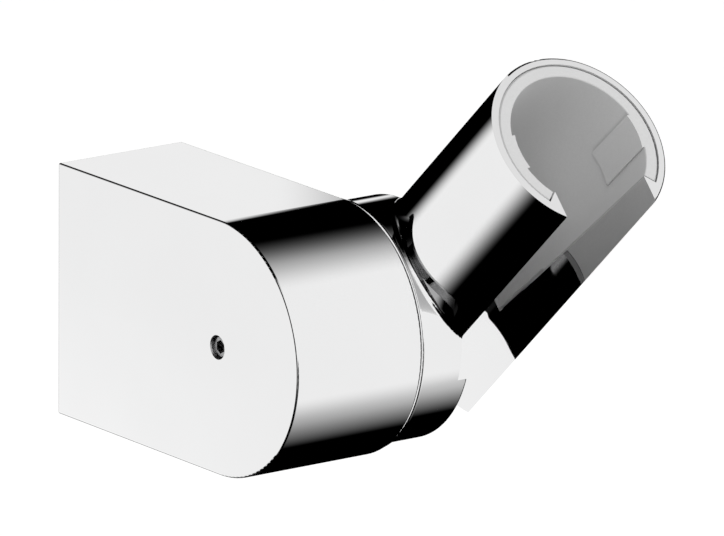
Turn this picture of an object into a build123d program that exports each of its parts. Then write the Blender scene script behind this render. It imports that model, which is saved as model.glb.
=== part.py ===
from build123d import *
import os
from math import cos, degrees, radians, sin, sqrt

os.makedirs("parts", exist_ok=True)

# The frame: origin at the middle of the body's back, on the wall. X runs along the wall, Y into it, Z up.

# Wall body, a block with a fully rounded front
body_width = 24.5
body_height = 42.0
pivot_reach = 45.0  # from the wall to the tilt axis
body_wall = 2.6
body_edge_radius = 0.3

# Hub of the body and the ribs that brace it
hub_radius = 8.5
rib_thickness = 2.0
rib_setback = 1.0  # from the hub's inner end
boss_setback = 0.25  # of hub and bosses behind the outer faces

# Clearances
seat_gap = 0.05  # round pieces pressed or screwed in
run_gap = 0.05  # what turns and what stands still
reach_margin = 2.0  # by which cutting solids pass the surface

# Seam between the body and the head
seam_gap = 0.55
glide_thickness = 0.45
glide_width = 1.6
glide_setback = 0.55  # inside the disc's rim
seal_section = 0.8  # radius of the seal's own section
seal_groove_width = 2.0
seal_groove_depth = 1.25
seam_land = 0.5  # between the glide ring and the seal's groove

# Head: a disc on the tilt axis with a slotted tube beside it
disc_rim_setback = 0.35  # of the disc's raised rim inside the body's outline
disc_rim_width = 0.4
disc_rim_edge_radius = 0.15
disc_setback = 1.15  # of the disc's side inside the body's outline
disc_depth = 10.25
disc_edge_radius = 0.5
neck_radius = 0.9  # between the disc and the tube
tilt_angle = 43.2  # of the tube above the level
tube_top = 52.8  # from the tilt axis along the tube
tube_rim_wall = 1.25  # outside the lining
tube_edge_radius = 0.35
tube_setback = 1.6  # of the tube's near side behind the disc's face
slot_width = 17.6
lower_end_setback = 0.7  # of the tube's lower end inside the disc's side
seat_height = 4.5  # of the lining's ledge above the tilt axis
cone_top_radius = 12.0
cone_bottom_radius = 9.95
lip_angle = 43.5  # of the lips beside the slot, from the tube's side
lip_blunt = 0.2
lip_start = 0.5  # how far a lip's room starts inside its tip
tilt_up = 45.0
tilt_down = 45.0

# Conical lining and its two grip pads
lining_gap = 0.05
lining_rim_wall = 2.15
lining_end_gap = 0.25
lining_top_setback = 0.1
lining_edge_break = 0.35
lining_mouth_break = 0.12
lining_foot_height = 18.8  # below this the ends stand back
lining_foot_setback = 0.5
pad_width = 6.0
pad_length = 11.6
pad_height = 0.46  # above the bore

# Axle, bushes and friction stack
axle_radius = 3.0
axle_edge_break = 0.5
axle_depth = 6.3  # in the disc
axle_overhang = 0.9  # past the nut
bush_wall = 1.5
bush_flange_radius = 6.25
bush_flange = 0.8
bush_spacing = 0.75  # between the two bushes
washer_radius = 6.25
washer_bore_gap = 0.1
pressure_washer_thickness = 1.0
spring_thickness = 0.7
spring_rise = 0.3
nut_thickness = 3.0
nut_across_flats = 10.0
nut_chamfer = 0.5
drive_pin_radius = 0.8
drive_pin_length = 4.8

# Stop pin and its curved groove
stop_pin_radius = 1.5
stop_pin_depth = 6.0
stop_pin_reach = 2.0  # into the disc
stop_pin_boss_radius = 3.5
stop_pin_boss_length = 4.4
stop_groove_gap = 0.2
stop_groove_end_gap = 0.3
stop_land = 0.3

# Set screws and their brass threads
screw_radius = 1.93
screw_length = 5.0
screw_chamfer = 0.35
socket_across = 2.0
socket_depth = 2.2
screw_recess = 0.6
screw_hole_radius = 2.0
side_screw_setback = 0.75  # behind the tilt axis
thread_radius = 3.0
thread_length = 4.2
thread_recess = 1.3
screw_boss_radius = 4.5
screw_boss_gap = 0.5  # to the end of the axle
brake_pad_length = 2.45
lock_screw_reach = 10.0  # from the wall
lock_boss_setback = 0.4
brake_pad_radius = 2.9

# Wall bracket
bracket_gap = 0.2
bracket_plate = 3.0
bracket_tongue = 2.0
bracket_tongue_width = 14.0
bracket_tongue_reach = 16.0
wall_hole_radius = 2.3
wall_hole_spacing = 16.0
wall_hole_rise = 2.0  # of the holes' middle above the tilt axis
wall_screw_head_radius = 4.5

# Places worked out from the sizes
left_face = -body_width / 2
right_face = body_width / 2
body_radius = body_height / 2
disc_rim_radius = body_radius - disc_rim_setback
disc_radius = body_radius - disc_setback
disc_face = right_face + seam_gap
disc_back = disc_face + disc_depth
seat_radius = cone_top_radius + lining_rim_wall + lining_gap
tube_radius = seat_radius + tube_rim_wall
tube_offset = disc_face + tube_setback + tube_radius
lower_end_radius = disc_radius - lower_end_setback
glide_outer = disc_rim_radius - glide_setback
glide_inner = glide_outer - glide_width
seal_radius = glide_inner - seam_land - seal_groove_width / 2
stop_groove_half = stop_pin_radius + stop_groove_gap
stop_radius = seal_radius - seal_groove_width / 2 - stop_land - stop_groove_half
screw_tip = left_face + screw_recess + screw_length
axle_end = screw_tip + brake_pad_length + run_gap
nut_face = axle_end + axle_overhang + nut_thickness
washer_face = nut_face + 2 * (spring_thickness + spring_rise)
flange_face = washer_face + pressure_washer_thickness + run_gap
hub_face = flange_face + bush_flange
bush_length = (right_face - bush_flange - hub_face - bush_spacing) / 2
screw_boss_end = axle_end - screw_boss_gap
lock_screw_tip = -body_radius + screw_recess + screw_length
lock_boss_end = lock_screw_tip - lock_boss_setback
lining_top = tube_top - lining_top_setback
cone_slope = (cone_top_radius - cone_bottom_radius) / (tube_top - seat_height)

pivot_axis = Axis((0, -pivot_reach, 0), (1, 0, 0))
turning_plane = Plane(origin=(0, -pivot_reach, 0), x_dir=(1, 0, 0), z_dir=(0, -1, 0))
tube_plane = Plane(
    origin=(tube_offset, -pivot_reach, 0),
    x_dir=(1, 0, 0),
    z_dir=(0, -cos(radians(tilt_angle)), sin(radians(tilt_angle))),
)  # its Z runs up the tube and its -Y out of the slot


def x_rod(radius, start, end, y=-pivot_reach, z=0.0):
    """A rod along X, on the tilt axis unless y and z say otherwise."""
    return Pos((start + end) / 2, y, z) * Rot(0, 90, 0) * Cylinder(radius, end - start)


def turned(*outline):
    """A piece turned about the tilt axis from (x, radius) points."""
    face = make_face(turning_plane * Polyline(*outline, close=True))
    return revolve(face, axis=pivot_axis)


def turned_ring(inner, outer, start, end):
    return turned((start, inner), (start, outer), (end, outer), (end, inner))


def block(x_range, y_range, z_range):
    size = [high - low for low, high in (x_range, y_range, z_range)]
    middle = [(high + low) / 2 for low, high in (x_range, y_range, z_range)]
    return Pos(*middle) * Box(*size)


def rounded_block(start, end, inset, back):
    """The body's outline, drawn in by inset and run back to y = back, from start to end along X."""
    radius = body_radius - inset
    length = pivot_reach + back
    outline = Pos(-pivot_reach, 0) * Circle(radius) + Pos(back - length / 2, 0) * Rectangle(length, 2 * radius)
    return extrude(Plane.YZ.offset(start) * outline, end - start)


def cone_radius(height):
    return cone_bottom_radius + cone_slope * (height - seat_height)


def tube_rod(radius, start, end):
    """A rod along the tube, in the tube's own frame."""
    return Pos(0, 0, (start + end) / 2) * Cylinder(radius, end - start)


def tube_cone(start, end):
    """The tapered bore between two heights, in the tube's own frame."""
    bottom, top = cone_radius(start), cone_radius(end)
    return Pos(0, 0, (start + end) / 2) * Cone(bottom, top, end - start)


def slot_block():
    depth = tube_radius + reach_margin
    low, high = -lower_end_radius - reach_margin, tube_top + reach_margin
    return block((-slot_width / 2, slot_width / 2), (-depth, 0), (low, high))


def lip_block(side, setback, top):
    """The room of one lip beside the slot, moved away from the slot by setback."""
    half = slot_width / 2
    low = sqrt(cone_radius(seat_height) ** 2 - half**2) - lip_blunt
    high = sqrt(cone_radius(tube_top) ** 2 - half**2) - lip_blunt
    run = tube_top - seat_height
    outward = Vector(side * cos(radians(lip_angle)), -sin(radians(lip_angle)), 0)
    along = Vector(0, low - high, run).normalized()
    to_slot = outward.cross(along).normalized() * side
    foot = Vector(side * half, -low, seat_height) - to_slot * setback
    plane = Plane(origin=foot, x_dir=outward, z_dir=to_slot)
    low_end, high_end = -reach_margin, top - seat_height + reach_margin
    y_range = (low_end, high_end) if side > 0 else (-high_end, -low_end)
    return plane * block((-lip_start, tube_radius), y_range, (0, tube_radius))


def set_screw():
    """A socket set screw whose socket end lies at the origin and faces +Z."""
    body = Pos(0, 0, -screw_length / 2) * Cylinder(screw_radius, screw_length)
    body = chamfer(body.edges().filter_by(GeomType.CIRCLE), screw_chamfer)
    socket = RegularPolygon(socket_across / 2, 6, major_radius=False)
    return body - extrude(Pos(0, 0, -socket_depth) * socket, socket_depth)


def thread_insert():
    """A brass thread that lies behind a set screw's hole, from the origin towards -Z."""
    middle = Pos(0, 0, -thread_length / 2)
    return middle * (Cylinder(thread_radius, thread_length) - Cylinder(screw_radius + seat_gap, thread_length))


side_screw_plane = Plane(origin=(left_face, side_screw_setback - pivot_reach, 0), x_dir=(0, 0, 1), z_dir=(-1, 0, 0))
under_screw_plane = Plane(origin=(0, -lock_screw_reach, -body_radius), x_dir=(1, 0, 0), z_dir=(0, 0, -1))


def screw_bore(end_depth):
    """The stepped hole for a thread and its screw, from the surface to end_depth."""
    skin = Pos(0, 0, -thread_recess / 2) * Cylinder(screw_hole_radius, thread_recess)
    length = end_depth - thread_recess
    pocket = Pos(0, 0, -thread_recess - length / 2) * Cylinder(thread_radius + seat_gap, length)
    return skin + pocket


def body_shell():
    shell = rounded_block(left_face, right_face, 0, 0)
    flat_joins = shell.edges().filter_by_position(Axis.Y, -pivot_reach - seat_gap, -pivot_reach + seat_gap)
    shell = fillet([edge for edge in shell.edges() if edge not in flat_joins], body_edge_radius)
    shell -= rounded_block(left_face + body_wall, right_face - body_wall, body_wall, 0)
    inside = rounded_block(left_face + boss_setback, right_face - body_wall / 2, body_wall / 2, 0)

    hub = x_rod(hub_radius, hub_face, right_face - boss_setback)
    rib_start = hub_face + rib_setback
    front_rib = block((rib_start, right_face - body_wall / 2),
                      (-pivot_reach - body_radius, -pivot_reach), (-rib_thickness / 2, rib_thickness / 2))
    tall_rib = block((rib_start, right_face - body_wall / 2),
                     (-pivot_reach - rib_thickness / 2, -pivot_reach + rib_thickness / 2),
                     (-body_radius, body_radius))
    pin_boss = x_rod(stop_pin_boss_radius, right_face - body_wall - stop_pin_boss_length,
                     right_face - boss_setback, y=stop_radius - pivot_reach)
    screw_boss = x_rod(screw_boss_radius, left_face + boss_setback, screw_boss_end,
                       y=side_screw_setback - pivot_reach)
    lock_boss = Pos(0, -lock_screw_reach, (lock_boss_end - body_radius + boss_setback) / 2) * Cylinder(
        screw_boss_radius, lock_boss_end + body_radius - boss_setback)
    shell += hub + (front_rib & inside) + (tall_rib & inside) + pin_boss + screw_boss + lock_boss

    shell -= x_rod(axle_radius + run_gap + bush_wall + seat_gap, hub_face, right_face)
    shell -= x_rod(bush_flange_radius + seat_gap, right_face - bush_flange, right_face)
    shell -= turned_ring(seal_radius - seal_groove_width / 2, seal_radius + seal_groove_width / 2,
                         right_face - seal_groove_depth, right_face)
    shell -= x_rod(stop_pin_radius + seat_gap, right_face - stop_pin_depth, right_face,
                   y=stop_radius - pivot_reach)
    shell -= side_screw_plane * screw_bore(screw_boss_end - left_face)
    shell -= under_screw_plane * screw_bore(lock_boss_end + body_radius)
    return shell


def adjusting_screw():
    return side_screw_plane * Pos(0, 0, -screw_recess) * set_screw()


def side_thread_insert():
    return side_screw_plane * Pos(0, 0, -thread_recess) * thread_insert()


def brake_pad():
    return x_rod(brake_pad_radius, screw_tip, screw_tip + brake_pad_length,
                 y=side_screw_setback - pivot_reach)


def bracket_lock_screw():
    return under_screw_plane * Pos(0, 0, -screw_recess) * set_screw()


def lock_thread_insert():
    return under_screw_plane * Pos(0, 0, -thread_recess) * thread_insert()


def wall_bracket():
    half_width = body_width / 2 - body_wall - bracket_gap
    half_height = body_radius - body_wall - bracket_gap
    bracket = block((-half_width, half_width), (-bracket_plate, 0), (-half_height, half_height))
    tongue_x = (-bracket_tongue_width / 2, bracket_tongue_width / 2)
    tongue_y = (-bracket_tongue_reach, 0)
    lower_tongue = lock_screw_tip + run_gap
    bracket += block(tongue_x, tongue_y, (half_height - bracket_tongue, half_height))
    bracket += block(tongue_x, tongue_y, (lower_tongue, lower_tongue + bracket_tongue))
    taper = wall_screw_head_radius - wall_hole_radius
    for side in (-1, 1):
        place = Pos(0, 0, wall_hole_rise + side * wall_hole_spacing / 2)
        bracket -= place * Pos(0, -bracket_plate / 2, 0) * Rot(90, 0, 0) * Cylinder(wall_hole_radius, bracket_plate)
        head = Rot(90, 0, 0) * Cone(wall_hole_radius, wall_screw_head_radius, taper)
        bracket -= place * Pos(0, -bracket_plate + taper / 2, 0) * head
    return bracket


def axle_bush_inner():
    bore = axle_radius + run_gap
    return turned((flange_face, bore), (flange_face, bush_flange_radius), (hub_face, bush_flange_radius),
                  (hub_face, bore + bush_wall), (hub_face + bush_length, bore + bush_wall),
                  (hub_face + bush_length, bore))


def axle_bush_outer():
    bore = axle_radius + run_gap
    shoulder = right_face - bush_flange
    return turned((right_face, bore), (right_face, bush_flange_radius), (shoulder, bush_flange_radius),
                  (shoulder, bore + bush_wall), (shoulder - bush_length, bore + bush_wall),
                  (shoulder - bush_length, bore))


def glide_ring():
    return turned_ring(glide_inner, glide_outer, right_face, right_face + glide_thickness)


def seal_ring():
    middle = right_face - seal_groove_depth + seal_section + run_gap
    section = turning_plane * Pos(middle, seal_radius) * Circle(seal_section)
    return revolve(section, axis=pivot_axis)


def stop_pin():
    return x_rod(stop_pin_radius, right_face - stop_pin_depth, disc_face + stop_pin_reach,
                 y=stop_radius - pivot_reach)


def drive_pin_at(radius, extra):
    return x_rod(radius, disc_face, disc_face + drive_pin_length + extra, z=-axle_radius)


def pivot_axle():
    tip = disc_face + axle_depth
    cut = axle_edge_break
    axle = turned((axle_end, 0), (axle_end, axle_radius - cut), (axle_end + cut, axle_radius),
                  (tip - cut, axle_radius), (tip, axle_radius - cut), (tip, 0))
    return axle - drive_pin_at(drive_pin_radius + seat_gap, seat_gap)


def drive_pin():
    return drive_pin_at(drive_pin_radius, 0)


def pressure_washer():
    return turned_ring(axle_radius + washer_bore_gap, washer_radius, washer_face,
                       washer_face + pressure_washer_thickness)


def disc_spring(rim, away):
    """A cone washer whose inner edge lies at x = rim and which leans the way that away says."""
    bore = axle_radius + washer_bore_gap
    return turned((rim, bore), (rim + away * spring_rise, washer_radius),
                  (rim + away * (spring_rise + spring_thickness), washer_radius),
                  (rim + away * spring_thickness, bore))


def axle_nut():
    start = nut_face - nut_thickness
    nut = extrude(Plane.YZ.offset(start) * Pos(-pivot_reach, 0)
                  * RegularPolygon(nut_across_flats / 2, 6, major_radius=False), nut_thickness)
    corner = nut_across_flats / 2 / cos(radians(30))
    nut &= turned((start, 0), (start, corner - nut_chamfer), (start + nut_chamfer, corner),
                  (nut_face - nut_chamfer, corner), (nut_face, corner - nut_chamfer), (nut_face, 0))
    return nut - x_rod(axle_radius + seat_gap, start, nut_face)


def stop_groove():
    """The curved groove in the disc's face, as long as the tilt needs."""
    end_angle = degrees((stop_groove_end_gap + stop_groove_gap) / stop_radius)
    path = CenterArc((0, 0), stop_radius, -tilt_up - end_angle, tilt_up + tilt_down + 2 * end_angle)
    depth = stop_pin_reach + stop_groove_end_gap
    return extrude(Plane.YZ.offset(disc_face) * Pos(-pivot_reach, 0) * SlotArc(path, 2 * stop_groove_half), depth)


def head_disc():
    disc = x_rod(disc_radius, disc_face, disc_back)
    disc = fillet(disc.edges().filter_by(GeomType.CIRCLE).sort_by(Axis.X)[-1], disc_edge_radius)
    rim = x_rod(disc_rim_radius, disc_face, disc_face + disc_rim_width)
    return disc + fillet(rim.edges().filter_by(GeomType.CIRCLE).sort_by(Axis.X)[0], disc_rim_edge_radius)


def neck():
    """The rounded joint between the disc's side and the upper tube, up to the disc's rounded back edge."""
    room = tube_radius + reach_margin
    tube = tube_plane * tube_rod(tube_radius, 0, tube_top)
    joint = x_rod(disc_radius, disc_face, tube_offset + room) + tube
    seam = [edge for edge in joint.edges() if edge.geom_type not in (GeomType.CIRCLE, GeomType.LINE)]
    joint = fillet(seam, neck_radius)
    kept = block((disc_face, disc_back - disc_edge_radius), (-pivot_reach - tube_top, -pivot_reach + tube_top),
                 (-tube_top, tube_top))
    return joint & kept


def tilt_head():
    tube = tube_rod(tube_radius, -lower_end_radius, tube_top)
    tube_rim = tube.edges().filter_by(GeomType.CIRCLE).sort_by(Axis.Z)[-1]
    tube = tube_plane * fillet(tube_rim, tube_edge_radius)
    room = tube_radius + reach_margin
    upper = tube_plane * block((-room, room), (-room, room), (0, tube_top + reach_margin))
    tube &= upper + x_rod(lower_end_radius, tube_offset - room, tube_offset + room)

    seat = tube_rod(seat_radius, seat_height, tube_top)
    for side in (-1, 1):
        seat -= lip_block(side, 0, tube_top)
    inside = seat + tube_cone(seat_height, tube_top) + slot_block()
    inside += tube_rod(slot_width / 2, -lower_end_radius - reach_margin, tube_top)
    head = head_disc() + tube + neck() - tube_plane * inside

    head -= x_rod(axle_radius + seat_gap, disc_face, disc_face + axle_depth + seat_gap)
    head -= drive_pin_at(drive_pin_radius + seat_gap, seat_gap)
    head -= stop_groove()
    return head


def cone_insert():
    outer = seat_radius - lining_gap
    low = seat_height + lining_gap
    lining = tube_rod(outer, low, lining_top)
    lining_rim = lining.edges().filter_by(GeomType.CIRCLE).sort_by(Axis.Z)[-1]
    lining = chamfer(lining_rim, lining_edge_break)
    lining -= tube_cone(seat_height, tube_top)
    flare = cone_radius(lining_top) + lining_mouth_break
    lining -= Pos(0, 0, lining_top - lining_mouth_break / 2) * Cone(
        cone_radius(lining_top), flare, lining_mouth_break)

    pad = block((cone_bottom_radius, (outer + cone_top_radius) / 2), (-pad_width / 2, pad_width / 2),
                (lining_top - pad_length, lining_top))
    pad += Rot(0, 0, 180) * pad
    pad_foot = lining_top - pad_length
    pad -= Pos(0, 0, lining_top - pad_length / 2) * Cone(
        cone_radius(pad_foot) - pad_height, cone_radius(lining_top) - pad_height, pad_length)
    lining += pad

    lining -= slot_block()
    for side in (-1, 1):
        lining -= lip_block(side, lining_end_gap, tube_top)
        lining -= lip_block(side, lining_end_gap + lining_foot_setback, lining_foot_height - reach_margin)
    return tube_plane * lining


pieces = {
    "body_shell": body_shell(),
    "adjusting_screw": adjusting_screw(),
    "side_thread_insert": side_thread_insert(),
    "brake_pad": brake_pad(),
    "bracket_lock_screw": bracket_lock_screw(),
    "lock_thread_insert": lock_thread_insert(),
    "wall_bracket": wall_bracket(),
    "axle_bush_inner": axle_bush_inner(),
    "axle_bush_outer": axle_bush_outer(),
    "glide_ring": glide_ring(),
    "seal_ring": seal_ring(),
    "stop_pin": stop_pin(),
    "tilt_head": tilt_head(),
    "cone_insert": cone_insert(),
    "pivot_axle": pivot_axle(),
    "drive_pin": drive_pin(),
    "pressure_washer": pressure_washer(),
    "disc_spring_outer": disc_spring(washer_face, -1),
    "disc_spring_inner": disc_spring(nut_face, 1),
    "axle_nut": axle_nut(),
}

for name, piece in pieces.items():
    solids = piece.solids()
    shape = solids[0] if len(solids) == 1 else Compound(solids)
    export_step(shape, f"parts/{name}.step")
    print(name, len(solids), round(shape.volume, 1))
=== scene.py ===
import math

import bmesh
import bpy
from mathutils import Matrix, Vector

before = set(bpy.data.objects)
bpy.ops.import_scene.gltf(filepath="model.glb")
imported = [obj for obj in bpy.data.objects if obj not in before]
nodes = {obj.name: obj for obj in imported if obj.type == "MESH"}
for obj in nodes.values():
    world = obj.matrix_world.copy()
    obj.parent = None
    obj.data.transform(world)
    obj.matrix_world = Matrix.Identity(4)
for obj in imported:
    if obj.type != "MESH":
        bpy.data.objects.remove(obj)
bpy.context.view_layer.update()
print("frame loaded:", len(nodes), "solids")


# Camera, at the photograph's place

cameraSettings = {
    "place": (-1.221941, -1.722788, 0.564892),
    "turn": -36.41562,  # degrees from straight ahead, to the left
    "rise": 14.92874,
    "roll": 0.44477,
    "lens": 668.603,
    "sensor": 36,
    "nearest": 0.05,
    "farthest": 50,
}


def makeCamera(settings):
    turn, rise, roll = (math.radians(settings[key]) for key in ("turn", "rise", "roll"))
    back = Vector((math.sin(turn) * math.cos(rise), -math.cos(turn) * math.cos(rise), math.sin(rise)))
    side = Vector((math.cos(turn), math.sin(turn), 0))
    up = back.cross(side)
    rolledSide = math.cos(roll) * side + math.sin(roll) * up
    rolledUp = math.cos(roll) * up - math.sin(roll) * side
    data = bpy.data.cameras.new("photoCamera")
    data.lens = settings["lens"]
    data.sensor_width = settings["sensor"]
    data.clip_start = settings["nearest"]
    data.clip_end = settings["farthest"]
    camera = bpy.data.objects.new("photoCamera", data)
    bpy.context.scene.collection.objects.link(camera)
    axes = Matrix((rolledSide, rolledUp, back)).transposed().to_4x4()
    camera.matrix_world = Matrix.Translation(settings["place"]) @ axes
    bpy.context.scene.camera = camera


makeCamera(cameraSettings)
print("camera placed")


# Small helpers for node trees

def newMaterial(name):
    material = bpy.data.materials.new(name)
    material.use_nodes = True
    tree = material.node_tree
    shader = next(node for node in tree.nodes if node.type == "BSDF_PRINCIPLED")
    return material, tree, shader


def addNode(tree, kind, **values):
    node = tree.nodes.new(kind)
    for key, value in values.items():
        setattr(node, key, value)
    return node


# a material with nothing in it but its output
def emptyMaterial(name):
    material = bpy.data.materials.new(name)
    material.use_nodes = True
    tree = material.node_tree
    tree.nodes.clear()
    return material, tree, addNode(tree, "ShaderNodeOutputMaterial")


def mapRange(tree, value, low, high, toLow=0.0, toHigh=1.0, smooth=True):
    node = addNode(tree, "ShaderNodeMapRange", interpolation_type="SMOOTHSTEP" if smooth else "LINEAR")
    tree.links.new(value, node.inputs["Value"])
    node.inputs["From Min"].default_value = low
    node.inputs["From Max"].default_value = high
    node.inputs["To Min"].default_value = toLow
    node.inputs["To Max"].default_value = toHigh
    return node.outputs["Result"]


# each of first and second is a socket or a number
def mathNode(tree, operation, first, second):
    node = addNode(tree, "ShaderNodeMath", operation=operation)
    for socket, value in zip(node.inputs, (first, second)):
        if isinstance(value, (int, float)):
            socket.default_value = value
        else:
            tree.links.new(value, socket)
    return node.outputs[0]


# first, a socket, where the factor is 0, and the plain colour second where it is 1
def mixColour(tree, factor, first, second):
    node = addNode(tree, "ShaderNodeMix", data_type="RGBA")
    sockets = {socket.name: socket for socket in node.inputs if socket.type == "RGBA"}
    tree.links.new(factor, node.inputs[0])
    tree.links.new(first, sockets["A"])
    sockets["B"].default_value = (*second, 1)
    return next(socket for socket in node.outputs if socket.type == "RGBA")


# unit vector from degrees, turn from +X towards +Y
def directionFrom(turn, rise):
    turn, rise = math.radians(turn), math.radians(rise)
    return Vector((math.cos(turn) * math.cos(rise), math.sin(turn) * math.cos(rise), math.sin(rise)))


# from one value to another between two angles round a centre, which is given in degrees like the angles
def roundMask(tree, direction, centre, wide, narrow, atWide, atNarrow):
    node = addNode(tree, "ShaderNodeVectorMath", operation="DOT_PRODUCT")
    tree.links.new(direction, node.inputs[0])
    node.inputs[1].default_value = directionFrom(*centre)
    low, high = (math.cos(math.radians(angle)) for angle in (wide, narrow))
    return mapRange(tree, node.outputs["Value"], low, high, atWide, atNarrow)


# 1 for what the camera and the shiny surfaces see, 0 for light on the object
def seenAsBackground(tree):
    path = addNode(tree, "ShaderNodeLightPath")
    seen = mathNode(tree, "MAXIMUM", path.outputs["Is Camera Ray"], path.outputs["Is Glossy Ray"])
    return mathNode(tree, "MAXIMUM", seen, path.outputs["Is Transmission Ray"])


# Studio: a white world, a pale floor and two soft lamps, with black flags that only shiny surfaces see

def stageObject(name, mesh, material, place):
    thing = bpy.data.objects.new(name, mesh)
    thing.location = place
    bpy.context.scene.collection.objects.link(thing)
    mesh.materials.append(material)
    return thing


worldSettings = {
    "colour": (1, 1, 1),
    "ambient": 0.62,  # strength as light on the object; what is seen of it has a strength of 1
}


def makeWorld(settings):
    world = bpy.data.worlds.new("whiteStudio")
    world.use_nodes = True
    bpy.context.scene.world = world
    tree = world.node_tree
    background = next(node for node in tree.nodes if node.type == "BACKGROUND")
    background.inputs["Color"].default_value = (*settings["colour"], 1)
    strength = mapRange(tree, seenAsBackground(tree), 0, 1, settings["ambient"], 1.0, smooth=False)
    tree.links.new(strength, background.inputs["Strength"])


floorSettings = {
    "height": -0.6,
    "size": 8.0,
    "colour": (0.8, 0.8, 0.8),
    "roughness": 0.9,
    "specular": 0.1,
    "glowColour": (1, 1, 1),
    "glow": 0.45,
}


def makeFloor(settings):
    material, tree, shader = newMaterial("palePaper")
    shader.inputs["Base Color"].default_value = (*settings["colour"], 1)
    shader.inputs["Roughness"].default_value = settings["roughness"]
    shader.inputs["Specular IOR Level"].default_value = settings["specular"]
    shader.inputs["Emission Color"].default_value = (*settings["glowColour"], 1)
    glow = mathNode(tree, "MULTIPLY", seenAsBackground(tree), settings["glow"])
    tree.links.new(glow, shader.inputs["Emission Strength"])
    half = settings["size"] / 2
    corners = [(-half, -half, 0), (half, -half, 0), (half, half, 0), (-half, half, 0)]
    mesh = bpy.data.meshes.new("paleFloor")
    mesh.from_pydata(corners, [], [(0, 1, 2, 3)])
    floor = stageObject("paleFloor", mesh, material, (0, 0, settings["height"]))
    floor.visible_glossy = False  # the chrome shows the white world there, through the flags


flagSettings = {
    "distance": 2.5,
    "centre": (0.015, -0.045, 0.01),
    "subdivisions": 5,
    "flags": {  # places in degrees, turn from +X towards +Y, and angles round them
        "topFlag": {"place": (110, 64.6), "dark": 30.3, "clear": 68.8},
        "sideFlag": {"place": (37.5, -6.2), "dark": 55, "clear": 73},
        "lowFlag": {"place": (231, -73.8), "dark": 34.2, "clear": 56.4},
        "wallFlag": {"place": (170, 12), "dark": 35, "clear": 39},
        "edgeFlag": {"place": (186, -14), "dark": 34, "clear": 38},
        "backFlag": {"place": (264, -27), "dark": 22, "clear": 27},
    },
    "gapTurn": (52.95, 54.31, 56.5, 58),  # between these the backdrop shows through, with soft edges
    "gapRise": (3, 9, 19, 24),
    "net": 0.87,  # the light that the net between the flags lets through
    "netHole": {"place": (118, -24), "open": 8, "closed": 12},
}


# black cloth with soft edges, cut to the places that the settings give
def makeFlagCloth(settings):
    material, tree, output = emptyMaterial("flagCloth")
    place = addNode(tree, "ShaderNodeNewGeometry").outputs["Position"]
    fromCentre = addNode(tree, "ShaderNodeVectorMath", operation="SUBTRACT")
    tree.links.new(place, fromCentre.inputs[0])
    fromCentre.inputs[1].default_value = settings["centre"]
    unit = addNode(tree, "ShaderNodeVectorMath", operation="NORMALIZE")
    tree.links.new(fromCentre.outputs["Vector"], unit.inputs[0])
    direction = unit.outputs["Vector"]
    clear = None
    for flag in settings["flags"].values():
        outside = roundMask(tree, direction, flag["place"], flag["clear"], flag["dark"], 1.0, 0.0)
        clear = outside if clear is None else mathNode(tree, "MULTIPLY", clear, outside)

    parts = addNode(tree, "ShaderNodeSeparateXYZ")
    tree.links.new(direction, parts.inputs[0])
    turn = mathNode(tree, "ARCTAN2", parts.outputs["Y"], parts.outputs["X"])
    turns = [math.radians(value) for value in settings["gapTurn"]]
    rises = [math.sin(math.radians(value)) for value in settings["gapRise"]]
    opening = None
    for value, edges in ((turn, turns), (parts.outputs["Z"], rises)):
        opens = mapRange(tree, value, edges[0], edges[1])
        closes = mapRange(tree, value, edges[2], edges[3], 1.0, 0.0)
        for edge in (opens, closes):
            opening = edge if opening is None else mathNode(tree, "MULTIPLY", opening, edge)
    clear = mathNode(tree, "MAXIMUM", clear, opening)

    cloth = addNode(tree, "ShaderNodeEmission")
    cloth.inputs["Strength"].default_value = 0.0
    air = addNode(tree, "ShaderNodeBsdfTransparent")
    hole = settings["netHole"]
    light = roundMask(tree, direction, hole["place"], hole["closed"], hole["open"], settings["net"], 1.0)
    tree.links.new(light, air.inputs["Color"])
    mix = addNode(tree, "ShaderNodeMixShader")
    tree.links.new(clear, mix.inputs[0])
    tree.links.new(cloth.outputs[0], mix.inputs[1])
    tree.links.new(air.outputs[0], mix.inputs[2])
    tree.links.new(mix.outputs[0], output.inputs["Surface"])
    return material


def makeFlags(settings):
    cloth = makeFlagCloth(settings)
    shell = bmesh.new()
    bmesh.ops.create_icosphere(shell, subdivisions=settings["subdivisions"], radius=settings["distance"])
    dome = bpy.data.meshes.new("hangingFlags")
    shell.to_mesh(dome)
    shell.free()
    return stageObject("hangingFlags", dome, cloth, settings["centre"])


paneSettings = {
    "place": (0.01275, -0.045, 0),
    "inside": 0.02015,
    "outside": 0.2,
    "sides": 128,
}


# a clear pane in the seam, outside the body; what lies beyond it isn't mirrored, as in the photograph
def makePane(settings):
    material, tree, output = emptyMaterial("clearPane")
    air = addNode(tree, "ShaderNodeBsdfTransparent")
    tree.links.new(air.outputs[0], output.inputs["Surface"])
    count = settings["sides"]
    rings = []
    for radius in (settings["inside"], settings["outside"]):
        for step in range(count):
            angle = 2 * math.pi * step / count
            rings.append((0, radius * math.cos(angle), radius * math.sin(angle)))
    faces = [(step, (step + 1) % count, count + (step + 1) % count, count + step) for step in range(count)]
    mesh = bpy.data.meshes.new("clearPane")
    mesh.from_pydata(rings, [], faces)
    return stageObject("clearPane", mesh, material, settings["place"])


lampSettings = {
    "keyLamp": {"from": (-1.1, -1.6, 1.5), "size": 1.4, "power": 29},
    "fillLamp": {"from": (1.4, -1.2, 0.9), "size": 1.6, "power": 20},
}


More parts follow.
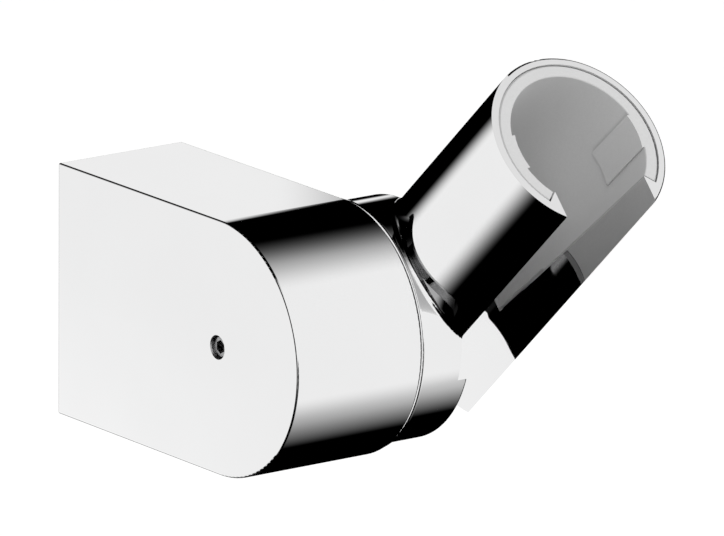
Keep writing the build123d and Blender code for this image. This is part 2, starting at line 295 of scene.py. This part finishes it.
def makeLamps(settings):
    for name, lamp in settings.items():
        data = bpy.data.lights.new(name, "AREA")
        data.shape = "SQUARE"
        data.size = lamp["size"]
        data.energy = lamp["power"]
        thing = bpy.data.objects.new(name, data)
        bpy.context.scene.collection.objects.link(thing)
        thing.location = lamp["from"]
        thing.rotation_euler = (-Vector(lamp["from"])).to_track_quat("-Z", "Y").to_euler()
        thing.visible_glossy = False


makeWorld(worldSettings)
makeFloor(floorSettings)
for card in (makeFlags(flagSettings), makePane(paneSettings)):  # only shiny surfaces see these
    card.visible_camera = False
    card.visible_diffuse = False
    card.visible_shadow = False
    card.visible_transmission = False
makeLamps(lampSettings)
bpy.context.scene.cycles.transparent_max_bounces = 32  # the mirrored light passes the dome and the pane often
bpy.context.scene.view_settings.view_transform = "Standard"
print("studio ready")


# Finishes

grainSettings = {  # what a finish that says nothing else gets
    "Scale": 800.0,
    "Depth": 0.00001,
    "Detail": 3.0,
    "Strength": 0.2,
}


# fine unevenness that every finish shares, as a normal and a mask
def makeFineGrain(settings):
    group = bpy.data.node_groups.new("fineGrain", "ShaderNodeTree")
    for name, value in settings.items():
        socket = group.interface.new_socket(name=name, in_out="INPUT", socket_type="NodeSocketFloat")
        socket.default_value = value
    group.interface.new_socket(name="Normal", in_out="OUTPUT", socket_type="NodeSocketVector")
    group.interface.new_socket(name="Mask", in_out="OUTPUT", socket_type="NodeSocketFloat")
    start = addNode(group, "NodeGroupInput")
    end = addNode(group, "NodeGroupOutput")
    place = addNode(group, "ShaderNodeTexCoord").outputs["Object"]
    noise = addNode(group, "ShaderNodeTexNoise")
    group.links.new(place, noise.inputs["Vector"])
    group.links.new(start.outputs["Scale"], noise.inputs["Scale"])
    group.links.new(start.outputs["Detail"], noise.inputs["Detail"])
    bump = addNode(group, "ShaderNodeBump")
    group.links.new(noise.outputs["Fac"], bump.inputs["Height"])
    group.links.new(start.outputs["Depth"], bump.inputs["Distance"])
    group.links.new(start.outputs["Strength"], bump.inputs["Strength"])
    group.links.new(bump.outputs["Normal"], end.inputs["Normal"])
    group.links.new(noise.outputs["Fac"], end.inputs["Mask"])
    return group


fineGrain = makeFineGrain(grainSettings)

maskSpread = (0.35, 0.65)  # of the grain's mask, from the low to the high colour and roughness

finishSettings = {
    "chrome": {
        "metal": True, "low": (0.955, 0.955, 0.957), "high": (0.965, 0.965, 0.967),
        "roughLow": 0.012, "roughHigh": 0.03, "scale": 60, "depth": 0.0, "strength": 0.0,
        "paintedMirrorShade": (0.45, 0.45, 0.452),  # painted shade: chrome seen in a reflection gets this darker colour
    },
    "liningPlastic": {
        "metal": False, "low": (0.485, 0.485, 0.485), "high": (0.505, 0.505, 0.505),
        "roughLow": 0.4, "roughHigh": 0.48, "scale": 2600, "depth": 0.000005, "strength": 0.1,
    },
    "screwSteel": {
        "metal": True, "low": (0.40, 0.40, 0.405), "high": (0.48, 0.48, 0.485),
        "roughLow": 0.22, "roughHigh": 0.36, "scale": 2200, "depth": 0.00001, "strength": 0.3,
    },
    "brass": {
        "metal": True, "low": (0.66, 0.47, 0.20), "high": (0.74, 0.55, 0.26),
        "roughLow": 0.24, "roughHigh": 0.36, "scale": 1400, "depth": 0.00001, "strength": 0.2,
    },
    "bushPlastic": {
        "metal": False, "low": (0.72, 0.71, 0.67), "high": (0.78, 0.77, 0.73),
        "roughLow": 0.35, "roughHigh": 0.5, "scale": 1800, "depth": 0.00001, "strength": 0.2,
    },
    "glidePlastic": {
        "metal": False, "low": (0.80, 0.80, 0.80), "high": (0.86, 0.86, 0.86),
        "roughLow": 0.3, "roughHigh": 0.42, "scale": 1800, "depth": 0.00001, "strength": 0.2,
    },
    "sealRubber": {
        "metal": False, "low": (0.018, 0.018, 0.019), "high": (0.03, 0.03, 0.031),
        "roughLow": 0.5, "roughHigh": 0.65, "scale": 2400, "depth": 0.00001, "strength": 0.3,
    },
    "axleSteel": {
        "metal": True, "low": (0.50, 0.50, 0.51), "high": (0.58, 0.58, 0.59),
        "roughLow": 0.2, "roughHigh": 0.32, "scale": 1600, "depth": 0.00001, "strength": 0.25,
    },
    "bracketSteel": {
        "metal": True, "low": (0.52, 0.53, 0.55), "high": (0.62, 0.63, 0.65),
        "roughLow": 0.3, "roughHigh": 0.45, "scale": 500, "depth": 0.00002, "strength": 0.3,
    },
}


def makeFinish(name, settings):
    material, tree, shader = newMaterial(name)
    grain = addNode(tree, "ShaderNodeGroup", node_tree=fineGrain)
    grain.inputs["Scale"].default_value = settings["scale"]
    grain.inputs["Depth"].default_value = settings["depth"]
    grain.inputs["Strength"].default_value = settings["strength"]
    ramp = addNode(tree, "ShaderNodeValToRGB")
    for element, position, key in zip(ramp.color_ramp.elements, maskSpread, ("low", "high")):
        element.position = position
        element.color = (*settings[key], 1)
    tree.links.new(grain.outputs["Mask"], ramp.inputs["Fac"])
    path = addNode(tree, "ShaderNodeLightPath")
    colour = ramp.outputs["Color"]
    # painted shade: a surface seen in a reflection turns to the darker colour given for it
    if "paintedMirrorShade" in settings:
        colour = mixColour(tree, path.outputs["Is Glossy Ray"], colour, settings["paintedMirrorShade"])
    tree.links.new(colour, shader.inputs["Base Color"])
    beyond = mathNode(tree, "GREATER_THAN", path.outputs["Transparent Depth"], 0.5)  # past the clear pane
    beyond = mathNode(tree, "MULTIPLY", beyond, path.outputs["Is Glossy Ray"])
    tree.links.new(mathNode(tree, "SUBTRACT", 1.0, beyond), shader.inputs["Alpha"])
    rough = mapRange(tree, grain.outputs["Mask"], *maskSpread, settings["roughLow"], settings["roughHigh"])
    tree.links.new(rough, shader.inputs["Roughness"])
    shader.inputs["Metallic"].default_value = 1.0 if settings["metal"] else 0.0
    if settings["strength"] > 0:
        tree.links.new(grain.outputs["Normal"], shader.inputs["Normal"])
    return material


finishes = {name: makeFinish(name, settings) for name, settings in finishSettings.items()}

nodeFinishes = {
    "body_shell": "chrome",
    "tilt_head": "chrome",
    "cone_insert": "liningPlastic",
    "adjusting_screw": "screwSteel",
    "bracket_lock_screw": "screwSteel",
    "side_thread_insert": "brass",
    "lock_thread_insert": "brass",
    "brake_pad": "bushPlastic",
    "axle_bush_inner": "bushPlastic",
    "axle_bush_outer": "bushPlastic",
    "glide_ring": "glidePlastic",
    "seal_ring": "sealRubber",
    "stop_pin": "axleSteel",
    "pivot_axle": "axleSteel",
    "drive_pin": "axleSteel",
    "pressure_washer": "axleSteel",
    "disc_spring_outer": "axleSteel",
    "disc_spring_inner": "axleSteel",
    "axle_nut": "axleSteel",
    "wall_bracket": "bracketSteel",
}

for nodeName, finish in nodeFinishes.items():
    nodes[nodeName].material_slots[0].material = finishes[finish]
print("finishes on", len(nodeFinishes), "solids")
